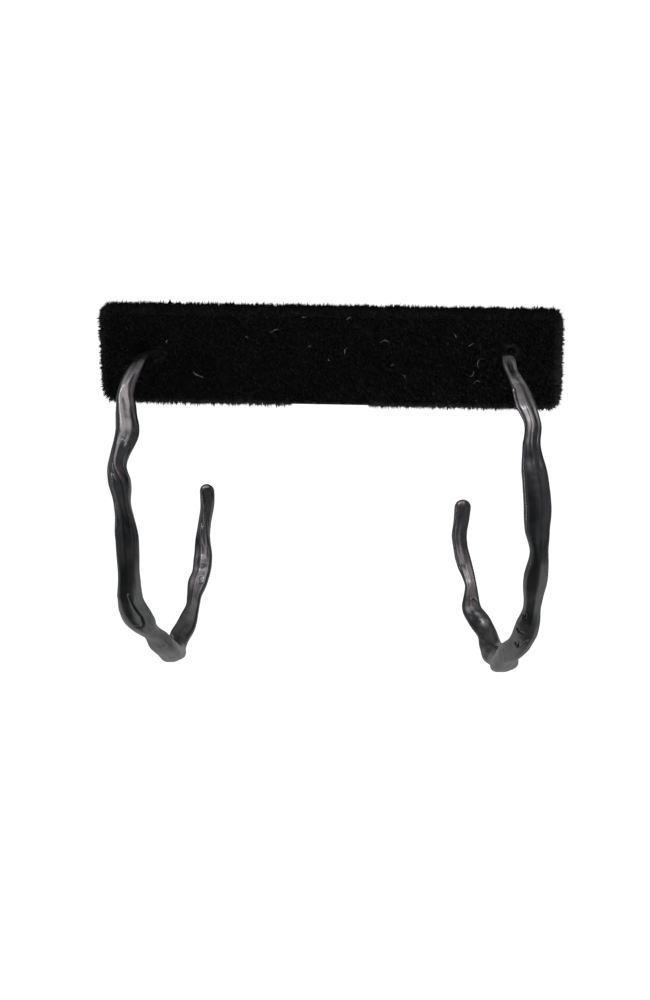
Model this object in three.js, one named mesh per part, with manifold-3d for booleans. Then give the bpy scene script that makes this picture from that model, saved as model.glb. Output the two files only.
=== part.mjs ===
// Velvet earring display bar with a pair of hand-shaped hoop earrings pinned through it.
//
// The bar is a thin fibreboard covered in black velvet: one sheet wraps the front and the four
// edges and turns in on the back, and a second panel is glued over the turned-in edges. Each
// hoop is a wavy open ring of cast metal. A straight post is brazed into its front end, passes
// through a punched hole in the bar and is gripped at the back by a butterfly clutch.
//
// Units are millimetres. X runs along the bar, -Y is the front, +Z is up. The origin is the
// middle of the flat face under the bar where the stem of a display stand joins it.

import * as THREE from "three";
import { mergeVertices } from "three/addons/utils/BufferGeometryUtils.js";
import Module from "manifold-3d";

const wasm = await Module();
wasm.setup();

// ---------------------------------------------------------------- driving dimensions

const BAR = { length: 89, height: 19, thickness: 6, corner: 1.8 };
const VELVET = 1.3; // backing cloth and pile together
const CRUSHED = 0.45; // the same cloth pressed flat under the back panel
const PANEL = { thickness: 0.85, inset: 0.9, corner: 1.2 };
const GLUE = 0.1; // gap kept between the board and its cover
const SEAM = 0.05; // gap kept between two layers of cloth
const TURN_IN = 4.5; // how far the cover folds onto the back
const STEM_WIDTH = 14; // the tongue of board that a stand's stem continues
const HOLE_RADIUS = 0.85;

const POST = { radius: 0.4, back: 7.6, socket: 0.52, seat: 0.25, depth: 1.0 };
const CLUTCH = { sheet: 0.34, height: 2.8, scroll: 1.25, plateX: 2.7, plateZ: 2.2, bore: 0.58 };

const TUBE_SIDES = 14;
const TUBE_STEPS = 84;

const FRONT = -BAR.thickness / 2;
const BACK = BAR.thickness / 2;
const BOARD_BACK = BACK - PANEL.thickness - SEAM - CRUSHED - SEAM;
const BOARD_FRONT = FRONT + VELVET + GLUE;

// A hoop is a ring in the plane across the bar. Its stations give, at an angle measured from
// the top of the ring over the front, how far the tube's centre stands sideways from the post
// and outwards from the ring's radius, then the tube's sideways width and its thickness across
// the ring.
const LEFT = {
  name: "left",
  hole: { x: -33.4, z: 10.35 },
  radius: 31.0,
  stations: [
    [3, 0, 0, 2.4, 2.3],
    [8, -1.7, 0.2, 2.6, 2.5],
    [16, -2.8, 0.4, 3, 2.8],
    [28, -4, -0.2, 3.3, 3.3],
    [36, -3.6, -0.4, 4.1, 3.2],
    [45, -3, 0, 4.6, 3],
    [56, -4.5, 0.4, 3.7, 3.5],
    [62, -3.9, 0.3, 4.4, 3.8],
    [70, -3.2, -0.2, 3.3, 3.4],
    [80, -2.4, -0.4, 4.4, 3.2],
    [94, -2.1, 0.3, 4.2, 3.8],
    [104, -2.3, 0.3, 4.8, 3.5],
    [111, -2, 0.4, 5.9, 3.6],
    [117, -1.5, 0.4, 6.1, 4],
    [122, -0.7, 0.1, 5, 3.5],
    [128, 0.7, -0.5, 3.8, 3],
    [135, 1.8, -0.6, 4.8, 4],
    [144, 2.5, -0.8, 4.6, 4.4],
    [154, 2.5, -0.5, 4.6, 4.6],
    [163, 2.3, 0, 4.7, 4.6],
    [174, 1.9, 0.2, 4.1, 3.9],
    [186, 2.7, 0.2, 4.2, 3.7],
    [198, 3.5, -0.4, 2.9, 3.3],
    [204, 3.5, -0.3, 3.1, 3.2],
    [211, 3.8, -0.1, 4.1, 3.1],
    [217, 4.3, 0.2, 3.9, 3.3],
    [224, 4.3, 0.4, 3.9, 3.6],
    [230, 4, 0.2, 3.3, 3.3],
    [236, 4.1, -0.1, 2.7, 3],
    [245, 4.6, -0.2, 3, 2.9],
    [252.5, 4.5, -0.3, 3.2, 2.9],
  ],
};

const RIGHT = {
  name: "right",
  hole: { x: 35.1, z: 11.85 },
  radius: 31.6,
  stations: [
    [10, -0.4, 0.2, 3.3, 2.4],
    [14, -0.3, 0.1, 3, 2.4],
    [19, 0.4, -0.2, 2.8, 2.6],
    [26, 1.8, -0.3, 3.3, 2.8],
    [34, 3, 0.1, 3.8, 3.2],
    [42, 4.4, 0.4, 3.2, 3.4],
    [49, 4.2, 0.3, 3.4, 3.2],
    [56, 4.7, -0.1, 4.6, 3.2],
    [68, 5.5, -0.4, 5.2, 3.6],
    [77, 5.6, 0.1, 4.6, 3.2],
    [84, 6, 0.4, 3.5, 3.4],
    [93, 5.5, 0.3, 4.6, 3.8],
    [105, 5, -0.3, 3.4, 3.4],
    [114, 4.2, -0.2, 4.6, 3.6],
    [124, 3.1, 0.3, 4.6, 3.9],
    [131, 2.1, 0.2, 4.9, 4.3],
    [140, 0.8, -0.4, 4.3, 4.1],
    [153, 0, -0.1, 5.3, 4.8],
    [163, -0.5, -0.1, 5.2, 4.3],
    [172, -2, 0.2, 5.1, 4],
    [180, -3, 0, 4.6, 3.6],
    [186, -3.6, 0, 4.2, 3.5],
    [193, -5.3, -0.2, 4.8, 3.3],
    [200, -7.1, -0.4, 4, 3.2],
    [211, -7.4, 0.2, 2.6, 3],
    [216, -8, 0.3, 2.8, 3],
    [221, -8.9, 0.4, 3.3, 3],
    [232, -10.2, -0.2, 3.1, 2.9],
    [240, -9.8, -0.3, 3.4, 2.9],
    [247, -9.6, -0.3, 3.5, 2.9],
  ],
};

const HOOP_CENTRE_Y = -2;
const HOOP_TOP_REACH = 5; // how far in front of the ring's middle the post's height is met

// ---------------------------------------------------------------- solids and cuts

function solidOf(geometry) {
  const bare = geometry.clone();
  bare.deleteAttribute("normal");
  bare.deleteAttribute("uv");
  const merged = mergeVertices(bare, 1e-4);
  return new wasm.Manifold(
    new wasm.Mesh({
      numProp: 3,
      vertProperties: merged.attributes.position.array,
      triVerts: new Uint32Array(merged.index.array),
    }),
  );
}

function geometryOf(solid) {
  const mesh = solid.getMesh();
  const geometry = new THREE.BufferGeometry();
  geometry.setAttribute("position", new THREE.BufferAttribute(mesh.vertProperties, 3));
  geometry.setIndex(new THREE.BufferAttribute(mesh.triVerts, 1));
  geometry.computeVertexNormals();
  return geometry;
}

function cut(solid, tools) {
  return tools.reduce((left, tool) => left.subtract(tool), solid);
}

// ---------------------------------------------------------------- outlines and blocks

function roundedRectangle(x0, x1, z0, z1, radius) {
  const shape = new THREE.Shape();
  shape.absarc(x1 - radius, z0 + radius, radius, -Math.PI / 2, 0);
  shape.absarc(x1 - radius, z1 - radius, radius, 0, Math.PI / 2);
  shape.absarc(x0 + radius, z1 - radius, radius, Math.PI / 2, Math.PI);
  shape.absarc(x0 + radius, z0 + radius, radius, Math.PI, Math.PI * 1.5);
  shape.closePath();
  return shape;
}

// Stands an outline drawn in X and Z between two values of Y, its long edges softened.
function slab(shape, front, back, soften = 0) {
  const geometry = new THREE.ExtrudeGeometry(shape, {
    depth: back - front - 2 * soften,
    curveSegments: 5,
    bevelEnabled: soften > 0,
    bevelSize: soften,
    bevelOffset: -soften,
    bevelThickness: soften,
    bevelSegments: 2,
  });
  geometry.rotateX(Math.PI / 2);
  geometry.translate(0, back - soften, 0);
  return solidOf(geometry);
}

function block(x0, x1, y0, y1, z0, z1) {
  const box = new THREE.BoxGeometry(x1 - x0, y1 - y0, z1 - z0);
  box.translate((x0 + x1) / 2, (y0 + y1) / 2, (z0 + z1) / 2);
  return solidOf(box);
}

function rodAlongY(hole, radius, y0, y1, sides = 16) {
  const rod = new THREE.CylinderGeometry(radius, radius, y1 - y0, sides);
  rod.translate(hole.x, (y0 + y1) / 2, hole.z);
  return solidOf(rod);
}

function postHoles() {
  return [LEFT, RIGHT].map((hoop) => rodAlongY(hoop.hole, HOLE_RADIUS, FRONT - 2, BACK + 2));
}

// ---------------------------------------------------------------- the bar

function coreBoard() {
  const halfLength = BAR.length / 2 - VELVET - GLUE;
  const bottom = VELVET + GLUE;
  const top = BAR.height - VELVET - GLUE;
  const outline = roundedRectangle(-halfLength, halfLength, bottom, top, BAR.corner - 1);
  const board = slab(outline, BOARD_FRONT, BOARD_BACK);
  const tongue = block(
    -STEM_WIDTH / 2,
    STEM_WIDTH / 2,
    BOARD_FRONT,
    BOARD_BACK,
    0,
    bottom + BAR.corner,
  );
  return cut(board.add(tongue), postHoles());
}

function velvetCover() {
  const halfLength = BAR.length / 2;
  const turnInBack = BOARD_BACK + SEAM + CRUSHED;
  const skin = slab(
    roundedRectangle(-halfLength, halfLength, 0, BAR.height, BAR.corner),
    FRONT,
    turnInBack,
    0.6,
  );
  const inside = slab(
    roundedRectangle(
      VELVET - halfLength,
      halfLength - VELVET,
      VELVET,
      BAR.height - VELVET,
      BAR.corner - 0.9,
    ),
    FRONT + VELVET,
    BOARD_BACK + SEAM,
  );
  const reach = VELVET + TURN_IN;
  const backOpening = block(
    reach - halfLength,
    halfLength - reach,
    0,
    BACK,
    reach,
    BAR.height - reach,
  );
  const stemSlot = block(
    -STEM_WIDTH / 2 - GLUE,
    STEM_WIDTH / 2 + GLUE,
    FRONT + VELVET,
    BOARD_BACK + SEAM,
    -1,
    VELVET + 1,
  );
  return cut(skin, [inside, backOpening, stemSlot, ...postHoles()]);
}

function velvetBackPanel() {
  const halfLength = BAR.length / 2 - PANEL.inset;
  const outline = roundedRectangle(
    -halfLength,
    halfLength,
    PANEL.inset,
    BAR.height - PANEL.inset,
    PANEL.corner,
  );
  return cut(slab(outline, BACK - PANEL.thickness, BACK), postHoles());
}

// ---------------------------------------------------------------- the hoops

// Reads a column of a hoop's stations at any angle, on a smooth curve through the stations.
function along(stations, column, angle) {
  const last = stations.length - 1;
  const found = stations.findIndex((station) => station[0] >= angle);
  const high = found < 0 ? last : Math.max(found, 1);
  const low = high - 1;
  const slope = (a, b) => (stations[b][column] - stations[a][column]) / (stations[b][0] - stations[a][0]);
  const slopeAt = (i) => slope(Math.max(i - 1, 0), Math.min(i + 1, last));
  const span = stations[high][0] - stations[low][0];
  const t = THREE.MathUtils.clamp((angle - stations[low][0]) / span, 0, 1);
  const t2 = t * t;
  const t3 = t2 * t;
  return (
    (2 * t3 - 3 * t2 + 1) * stations[low][column] +
    (t3 - 2 * t2 + t) * span * slopeAt(low) +
    (3 * t2 - 2 * t3) * stations[high][column] +
    (t3 - t2) * span * slopeAt(high)
  );
}

// The height of the ring's middle, so that the tube's front end meets the post.
function ringCentreZ(hoop) {
  return hoop.hole.z - Math.sqrt(hoop.radius ** 2 - HOOP_TOP_REACH ** 2);
}

// The free tip shrinks in a quarter circle over its own half width, the end at the post stays blunt.
function tipRounding(hoop, angle) {
  const tip = hoop.stations[hoop.stations.length - 1];
  const distance = THREE.MathUtils.degToRad(tip[0] - angle) * hoop.radius;
  const missing = 1 - Math.min(1, distance / (tip[3] / 2));
  return Math.max(0.45, Math.sqrt(1 - missing * missing));
}

function hoopPoint(hoop, angle, across, outward) {
  const turn = THREE.MathUtils.degToRad(angle);
  const reach = hoop.radius + along(hoop.stations, 2, angle) + outward;
  return new THREE.Vector3(
    hoop.hole.x + along(hoop.stations, 1, angle) + across,
    HOOP_CENTRE_Y - reach * Math.sin(turn),
    ringCentreZ(hoop) + reach * Math.cos(turn),
  );
}

// Bends a straight unit cylinder round the ring, station by station.
function hoopTube(hoop) {
  const tube = new THREE.CylinderGeometry(1, 1, 1, TUBE_SIDES, TUBE_STEPS);
  const position = tube.getAttribute("position");
  const first = hoop.stations[0][0];
  const sweep = hoop.stations[hoop.stations.length - 1][0] - first;
  for (let i = 0; i < position.count; i++) {
    const angle = first + (0.5 - position.getY(i)) * sweep;
    const size = tipRounding(hoop, angle) / 2;
    const across = position.getX(i) * size * along(hoop.stations, 3, angle);
    const outward = position.getZ(i) * size * along(hoop.stations, 4, angle);
    position.setXYZ(i, ...hoopPoint(hoop, angle, across, outward).toArray());
  }
  return solidOf(tube);
}

function hoopEndY(hoop) {
  return hoopPoint(hoop, hoop.stations[0][0], 0, 0).y;
}

function hoopCasting(hoop) {
  const tube = hoopTube(hoop);
  const end = hoopEndY(hoop);
  return cut(tube, [rodAlongY(hoop.hole, POST.socket, end - POST.depth, end + 3, 12)]);
}

// ---------------------------------------------------------------- posts and clutches

// A straight wire with a grip groove near its rounded tip.
function earPost(hoop) {
  const start = hoopEndY(hoop) - POST.depth + POST.seat;
  const r = POST.radius;
  const profile = [
    [0, start],
    [r, start],
    [r, POST.back - 2.1],
    [r - 0.1, POST.back - 1.8],
    [r - 0.1, POST.back - 1.4],
    [r, POST.back - 1.1],
    [r, POST.back - 0.25],
    [r - 0.15, POST.back],
    [0, POST.back],
  ].map(([radius, y]) => new THREE.Vector2(radius, y));
  const post = new THREE.LatheGeometry(profile, 12);
  post.translate(hoop.hole.x, 0, hoop.hole.z);
  return solidOf(post);
}

// Half of the clutch's sheet, from the middle of the plate to the inside of its scroll.
function scrollPath() {
  const path = [new THREE.Vector2(0.25, 0)];
  const middle = new THREE.Vector2(CLUTCH.scroll + 0.4, CLUTCH.scroll);
  const turns = 14;
  for (let i = 0; i <= turns; i++) {
    const angle = THREE.MathUtils.degToRad(-90 + (300 * i) / turns);
    const r = CLUTCH.scroll - (0.36 * i) / turns;
    path.push(new THREE.Vector2(middle.x + r * Math.cos(angle), middle.y + r * Math.sin(angle)));
  }
  return path;
}

// Gives a path of sheet metal its thickness and returns the closed outline.
function sheetOutline(path, thickness) {
  const side = (sign) =>
    path.map((point, i) => {
      const before = path[Math.max(i - 1, 0)];
      const after = path[Math.min(i + 1, path.length - 1)];
      const run = after.clone().sub(before).normalize();
      return new THREE.Vector2(
        point.x - (sign * run.y * thickness) / 2,
        point.y + (sign * run.x * thickness) / 2,
      );
    });
  return new THREE.Shape([...side(-1), ...side(1).reverse()]);
}

// The clutch's sheet section lies in X and Y and is drawn out along Z.
function clutch(hoop) {
  const right = scrollPath();
  const left = right.map((p) => new THREE.Vector2(-p.x, p.y)).reverse();
  const sheet = new THREE.ExtrudeGeometry(sheetOutline([...left, ...right], CLUTCH.sheet), {
    depth: CLUTCH.height,
    bevelEnabled: false,
  });
  sheet.translate(0, CLUTCH.sheet / 2, -CLUTCH.height / 2);
  const plate = new THREE.CylinderGeometry(1, 1, CLUTCH.sheet, 24);
  plate.scale(CLUTCH.plateX, 1, CLUTCH.plateZ);
  plate.translate(0, CLUTCH.sheet / 2, 0);
  const bore = rodAlongY({ x: 0, z: 0 }, CLUTCH.bore, -1, 3 * CLUTCH.scroll, 12);
  const body = cut(solidOf(sheet).add(solidOf(plate)), [bore]);
  return body.translate([hoop.hole.x, BACK + 0.1, hoop.hole.z]);
}

// ---------------------------------------------------------------- the object

const material = (color, roughness, metalness) =>
  new THREE.MeshStandardMaterial({ color, roughness, metalness });

const MATERIALS = {
  board: material(0x8a6b4a, 0.85, 0),
  velvet: material(0x08080a, 1, 0),
  gunmetal: material(0x4a494f, 0.22, 1),
  steel: material(0x8d8e92, 0.3, 1),
};

const part = new THREE.Group();

function addPiece(name, solid, finish) {
  const mesh = new THREE.Mesh(geometryOf(solid), finish);
  mesh.name = name;
  part.add(mesh);
}

addPiece("core_board", coreBoard(), MATERIALS.board);
addPiece("velvet_cover", velvetCover(), MATERIALS.velvet);
addPiece("velvet_back_panel", velvetBackPanel(), MATERIALS.velvet);

for (const hoop of [LEFT, RIGHT]) {
  addPiece(`${hoop.name}_hoop`, hoopCasting(hoop), MATERIALS.gunmetal);
  addPiece(`${hoop.name}_post`, earPost(hoop), MATERIALS.gunmetal);
  addPiece(`${hoop.name}_clutch`, clutch(hoop), MATERIALS.steel);
}

export default part;
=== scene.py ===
"""Velvet earring display bar with a pair of hand-shaped hoop earrings.

A Blender add-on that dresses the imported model: velvet pile, sculpted gunmetal hoops, ear posts,
butterfly clutches, lint and a plain studio. Everything is in metres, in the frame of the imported
model: X runs along the bar, -Y is the front, +Z is up, and the origin is under the bar's middle.
"""

import math

import bmesh
import bpy
import numpy as np
from bpy.props import FloatProperty, FloatVectorProperty, IntProperty, PointerProperty
from mathutils import Matrix, Vector, noise


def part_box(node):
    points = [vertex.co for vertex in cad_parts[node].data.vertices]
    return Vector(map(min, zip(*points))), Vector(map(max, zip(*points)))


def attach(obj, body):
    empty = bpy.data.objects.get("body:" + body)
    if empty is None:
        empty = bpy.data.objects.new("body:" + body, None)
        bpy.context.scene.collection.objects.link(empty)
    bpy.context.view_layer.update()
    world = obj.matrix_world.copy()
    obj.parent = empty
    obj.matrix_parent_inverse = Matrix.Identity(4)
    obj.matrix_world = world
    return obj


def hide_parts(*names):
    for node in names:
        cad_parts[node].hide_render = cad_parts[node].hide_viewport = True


bl_info = {
    "name": "Velvet Earring Display",
    "version": (1, 0, 0),
    "blender": (4, 5, 0),
    "location": "3D View > Sidebar > Earring Display",
    "description": "Builds a velvet display bar with a pair of hoop earrings",
    "category": "Object",
}

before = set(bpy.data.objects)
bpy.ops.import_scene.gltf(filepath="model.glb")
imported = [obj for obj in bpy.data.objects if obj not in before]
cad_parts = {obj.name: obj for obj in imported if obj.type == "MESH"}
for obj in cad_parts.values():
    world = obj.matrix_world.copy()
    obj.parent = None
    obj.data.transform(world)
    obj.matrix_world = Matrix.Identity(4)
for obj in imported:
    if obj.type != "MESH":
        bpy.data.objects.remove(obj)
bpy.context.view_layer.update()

MM = 0.001


def linear(code):
    """An sRGB hex colour as linear red, green and blue."""
    levels = [int(code[i : i + 2], 16) / 255 for i in (1, 3, 5)]
    return tuple(v / 12.92 if v <= 0.04045 else ((v + 0.055) / 1.055) ** 2.4 for v in levels)


# ---------------------------------------------------------------- sizes taken from the frame

COVER_LOW, COVER_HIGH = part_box("velvet_cover")
PANEL_LOW, PANEL_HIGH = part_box("velvet_back_panel")

# The hoops' stations as in the part: the angle from the top of the ring over the front, then in
# millimetres how far the middle stands sideways from the post and outwards from the ring, and the
# width and thickness. The last number turns the ridges round the section, in degrees.
# Rounded is where a hoop's ridges are lower: the angle, how far it spreads and by what share.
# The marks are folds, cracks and pits: half width and height in millimetres, and a path of angles
# along the ring and round the section, where 0 faces outwards and 90 faces right.
LEFT = {
    "side": "left",
    "post": "left_post",
    "radius": 31.0,
    "seed": 3,
    "rounded": (270, 20, 0.4),
    "stations": (
        (3, 0.0, 0.0, 2.4, 2.3, -70),
        (8, -1.7, 0.2, 2.6, 2.5, -65),
        (16, -2.8, 0.4, 3.0, 2.8, -60),
        (28, -4.0, -0.2, 3.3, 3.3, -45),
        (36, -3.6, -0.4, 4.1, 3.2, -30),
        (45, -3.0, 0.0, 4.6, 3.0, -22),
        (56, -4.5, 0.4, 3.7, 3.5, -5),
        (62, -3.9, 0.3, 4.4, 3.8, 15),
        (70, -3.2, -0.2, 3.3, 3.4, 35),
        (80, -2.4, -0.4, 4.4, 3.2, 55),
        (94, -2.1, 0.3, 4.2, 3.8, 68),
        (104, -2.3, 0.3, 4.8, 3.5, 85),
        (111, -2.0, 0.4, 5.9, 3.6, 105),
        (117, -1.5, 0.4, 6.1, 4.0, 128),
        (122, -0.7, 0.1, 5.0, 3.5, 145),
        (128, 0.7, -0.5, 3.8, 3.0, 160),
        (135, 1.8, -0.6, 4.8, 4.0, 174),
        (144, 2.5, -0.8, 4.6, 4.4, 184),
        (154, 2.5, -0.5, 4.6, 4.6, 192),
        (163, 2.3, 0.0, 4.7, 4.6, 198),
        (174, 1.9, 0.2, 4.1, 3.9, 210),
        (186, 2.7, 0.2, 4.2, 3.7, 230),
        (198, 3.5, -0.4, 2.9, 3.3, 240),
        (204, 3.5, -0.3, 3.1, 3.2, 243),
        (211, 3.8, -0.1, 4.1, 3.1, 246),
        (217, 4.3, 0.2, 3.9, 3.3, 248),
        (224, 4.3, 0.4, 3.9, 3.6, 252),
        (230, 4.0, 0.2, 3.3, 3.3, 264),
        (236, 4.1, -0.1, 2.7, 3.0, 285),
        (245, 4.6, -0.2, 3.0, 2.9, 315),
        (252.5, 4.5, -0.3, 3.2, 2.9, 335),
    ),
    "marks": (
        (0.12, -0.45, ((101, 14), (105, 26), (109, 35), (112, 42), (115, 36), (116, 25))),
        (0.1, -0.31, ((115, 36), (116, 18), (115, 0))),
        (0.7, -0.2, ((28, -28), (33, 8), (38, 40))),
        (0.5, -0.15, ((44, -30), (49, 0), (52, 30))),
        (0.5, 0.15, ((20, 20), (26, 0), (31, -20))),
        (0.9, 0.12, ((105, 8), (111, 14))),
        (0.5, 0.08, ((131, 86), (131, 50), (133, 14), (141, -29))),
        (0.3, -0.12, ((107, 62), (109, 66))),
        (0.35, -0.2, ((210, 150), (212, 160))),
        (0.8, 0.16, ((219, -175), (221, -175))),
    ),
}
RIGHT = {
    "side": "right",
    "post": "right_post",
    "radius": 31.6,
    "seed": 8,
    "rounded": (76, 24, 0.6),
    "stations": (
        (10, -0.4, 0.2, 3.3, 2.4, -62),
        (14, -0.3, 0.1, 3.0, 2.4, -64),
        (19, 0.4, -0.2, 2.8, 2.6, -66),
        (26, 1.8, -0.3, 3.3, 2.8, -66),
        (34, 3.0, 0.1, 3.8, 3.2, -64),
        (42, 4.4, 0.4, 3.2, 3.4, -62),
        (49, 4.2, 0.3, 3.4, 3.2, -60),
        (56, 4.7, -0.1, 4.6, 3.2, -56),
        (68, 5.5, -0.4, 5.2, 3.6, -52),
        (77, 5.6, 0.1, 4.6, 3.2, -50),
        (84, 6.0, 0.4, 3.5, 3.4, -48),
        (93, 5.5, 0.3, 4.6, 3.8, -50),
        (105, 5.0, -0.3, 3.4, 3.4, -55),
        (114, 4.2, -0.2, 4.6, 3.6, -70),
        (124, 3.1, 0.3, 4.6, 3.9, -100),
        (131, 2.1, 0.2, 4.9, 4.3, -120),
        (140, 0.8, -0.4, 4.3, 4.1, -143),
        (153, 0.0, -0.1, 5.3, 4.8, -165),
        (163, -0.5, -0.1, 5.2, 4.3, -175),
        (172, -2.0, 0.2, 5.1, 4.0, -182),
        (180, -3.0, 0.0, 4.6, 3.6, -195),
        (186, -3.6, 0.0, 4.2, 3.5, -205),
        (193, -5.3, -0.2, 4.8, 3.3, -215),
        (200, -7.1, -0.4, 4.0, 3.2, -228),
        (211, -7.4, 0.2, 2.6, 3.0, -240),
        (216, -8.0, 0.3, 2.8, 3.0, -242),
        (221, -8.9, 0.4, 3.3, 3.0, -246),
        (232, -10.2, -0.2, 3.1, 2.9, -262),
        (240, -9.8, -0.3, 3.4, 2.9, -270),
        (247, -9.6, -0.3, 3.5, 2.9, -276),
    ),
    "marks": (
        (0.5, 0.2, ((111, -74), (113, -68), (115, -60))),
        (0.13, -0.5, ((108, -60), (109, -76), (111, -84))),
        (0.13, -0.5, ((114, -62), (116, -46), (116, -30))),
        (0.22, -0.4, ((108, -40), (109, -38))),
        (0.12, -0.35, ((122, -48), (124, -24))),
        (0.12, -0.35, ((120, -29), (124, -22), (123, -6), (119, 12))),
        (0.25, 0.18, ((131, -108), (132, -86), (134, -50), (138, -18))),
        (0.16, -0.5, ((27, -52), (32, -58), (36, -62), (41, -66), (47, -72))),
        (0.4, -0.16, ((22, 40), (32, 34), (42, 40), (58, 34))),
        (0.3, 0.1, ((22, -8), (34, 0), (44, -4), (58, 4))),
        (0.16, -0.35, ((202, 140), (204, 155), (203, 175))),
        (1.1, 0.3, ((192, -178), (195, -178))),
        (0.25, 0.14, ((176, -175), (178, -140), (182, -110))),
        (0.75, -0.5, ((9, 0), (15, 4), (24, 0))),
    ),
}
HOOPS = (LEFT, RIGHT)
# In millimetres: where the rings' middle lies, and how far forward of it a ring meets its post.
RING_CENTRE_Y = -2.0
TOP_REACH = 5.0

# Where lint lies on the bar: across, up and its length in millimetres, its bend as a share of its
# length, and its turn in degrees.
LINT = (
    (-10.5, 15.5, 2.0, 0.15, 22),
    (-25.4, 6.5, 2.6, -0.3, -30),
    (-31.4, 13.0, 0.7, 0.2, 80),
    (-4.7, 18.3, 0.8, 0.3, 10),
    (-3.6, 12.5, 0.7, 0.2, 45),
    (0.0, 9.8, 0.6, 0.1, -60),
    (3.4, 11.7, 1.5, 0.35, 75),
    (4.0, 18.2, 1.0, 0.4, 30),
    (10.9, 13.5, 1.8, 0.5, 5),
    (14.6, 6.7, 0.8, 0.2, -40),
    (24.3, 15.1, 1.1, 0.3, -50),
    (27.5, 13.2, 1.2, 0.4, 35),
    (29.5, 9.6, 2.3, 0.7, 70),
    (27.5, 7.6, 1.6, -0.6, 50),
    (28.7, 5.6, 1.7, 0.5, 15),
    (12.3, 9.0, 0.5, 0.1, 65),
    (-15.8, 14.2, 0.6, 0.2, -20),
)


def hole(hoop):
    """The axis of a hoop's post, across and up, in millimetres."""
    low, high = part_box(hoop["post"])
    return (low.x + high.x) / 2 / MM, (low.z + high.z) / 2 / MM


# ---------------------------------------------------------------- settings


class VelvetSettings(bpy.types.PropertyGroup):
    """How the velvet's pile stands, and its colour"""

    pile_length: FloatProperty(
        name="Pile height",
        description="How deep the cloth lies under the cover's outside; tufts stand a little higher",
        default=0.65 * MM,
        min=0.2 * MM,
        max=3 * MM,
        unit="LENGTH",
    )
    tuft_width: FloatProperty(
        name="Tuft width",
        description="Width of one tuft at its root",
        default=0.26 * MM,
        unit="LENGTH",
    )
    density: FloatProperty(
        name="Tufts per square millimetre",
        description="How closely the tufts stand",
        default=33.0,
        min=1,
        max=60,
    )
    lean: FloatProperty(
        name="Lean",
        description="How far clumps of pile lean away from upright",
        default=1.5,
        min=0,
        max=3,
    )
    colour: FloatVectorProperty(
        name="Pile colour",
        description="Colour of the velvet's pile",
        default=linear("#454547"),
        size=3,
        subtype="COLOR",
    )
    seed: IntProperty(name="Seed", description="Arrangement of the tufts", default=11)


class HoopSettings(bpy.types.PropertyGroup):
    """How the hoops' surface is shaped and finished"""

    ridge: FloatProperty(
        name="Ridge height",
        description="Height of the ridges that twist round each hoop, as a share of its radius",
        default=0.115,
        min=0,
        max=0.3,
        subtype="FACTOR",
    )
    melt: FloatProperty(
        name="Melted waviness",
        description="Depth of the soft dents between the ridges",
        default=0.1 * MM,
        unit="LENGTH",
    )
    colour: FloatVectorProperty(
        name="Metal colour",
        description="Reflection colour of the plating",
        default=linear("#8b8b8c"),
        size=3,
        subtype="COLOR",
    )
    roughness: FloatProperty(
        name="Roughness",
        description="Softness of the reflections",
        default=0.2,
        min=0,
        max=1,
        subtype="FACTOR",
    )


class StudioSettings(bpy.types.PropertyGroup):
    """The floor and the light of the studio"""

    floor_drop: FloatProperty(
        name="Floor below the bar",
        description="How far under the bar the floor lies",
        default=0.16,
        unit="LENGTH",
    )
    floor_colour: FloatVectorProperty(
        name="Floor colour",
        description="Colour of the studio floor",
        default=linear("#fafafa"),
        size=3,
        subtype="COLOR",
    )
    key_power: FloatProperty(
        name="Softbox power",
        description="Power of the main softbox",
        default=0.3,
        min=0,
    )


# ---------------------------------------------------------------- helpers


def node(tree, kind, settings=None, links=None):
    """Adds a node, gives its sockets and properties their values and links its inputs.

    The stops of a colour ramp are pairs of a position and a linear colour.
    """
    made = tree.nodes.new(kind)
    for name, value in (settings or {}).items():
        if name == "stops":
            set_stops(made.color_ramp.elements, value)
        elif isinstance(name, str) and hasattr(made, name) and name not in made.inputs:
            setattr(made, name, value)
        else:
            made.inputs[name].default_value = value
    for name, source in (links or {}).items():
        tree.links.new(source, made.inputs[name])
    return made


def set_stops(elements, stops):
    """Gives a colour ramp its stops in place of the old ones."""
    while len(elements) > 1:
        elements.remove(elements[-1])
    elements[0].position, elements[0].color = stops[0][0], (*stops[0][1], 1)
    for position, colour in stops[1:]:
        elements.new(position).color = (*colour, 1)


def between(low, high, at_low, at_high, easing="LINEAR"):
    """What a map range is set to, to go from one level to another between two bounds."""
    return {
        "interpolation_type": easing,
        "From Min": low,
        "From Max": high,
        "To Min": at_low,
        "To Max": at_high,
    }


def new_material(name):
    """An empty node material, its tree and the coordinates of the piece that wears it."""
    material = bpy.data.materials.new(name)
    material.use_nodes = True
    tree = material.node_tree
    tree.nodes.clear()
    return material, tree, node(tree, "ShaderNodeTexCoord").outputs["Object"]


def wear(made, material):
    """Makes a material the only one of an object."""
    made.data.materials.clear()
    made.data.materials.append(material)


def new_object(name, mesh, body=None, material=None, smooth=True):
    """Links a mesh as a piece that rides on a body and takes a material."""
    made = bpy.data.objects.new(name, mesh)
    bpy.context.scene.collection.objects.link(made)
    if smooth:
        mesh.shade_smooth()
    if material:
        wear(made, material)
    if body:
        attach(made, body)
    return made


def mesh_of(name, points, faces):
    """A mesh from points in millimetres and faces."""
    mesh = bpy.data.meshes.new(name)
    mesh.from_pydata([tuple(float(v) * MM for v in p) for p in points], [], faces)
    mesh.update()
    return mesh


def evaluated_mesh(source):
    """The plain mesh that an object's modifiers give."""
    bpy.context.view_layer.update()
    graph = bpy.context.evaluated_depsgraph_get()
    return bpy.data.meshes.new_from_object(source.evaluated_get(graph), depsgraph=graph)


def discard(source):
    """Removes a helper object and its mesh."""
    mesh = source.data
    bpy.data.objects.remove(source)
    if mesh.users == 0:
        bpy.data.meshes.remove(mesh)


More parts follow.
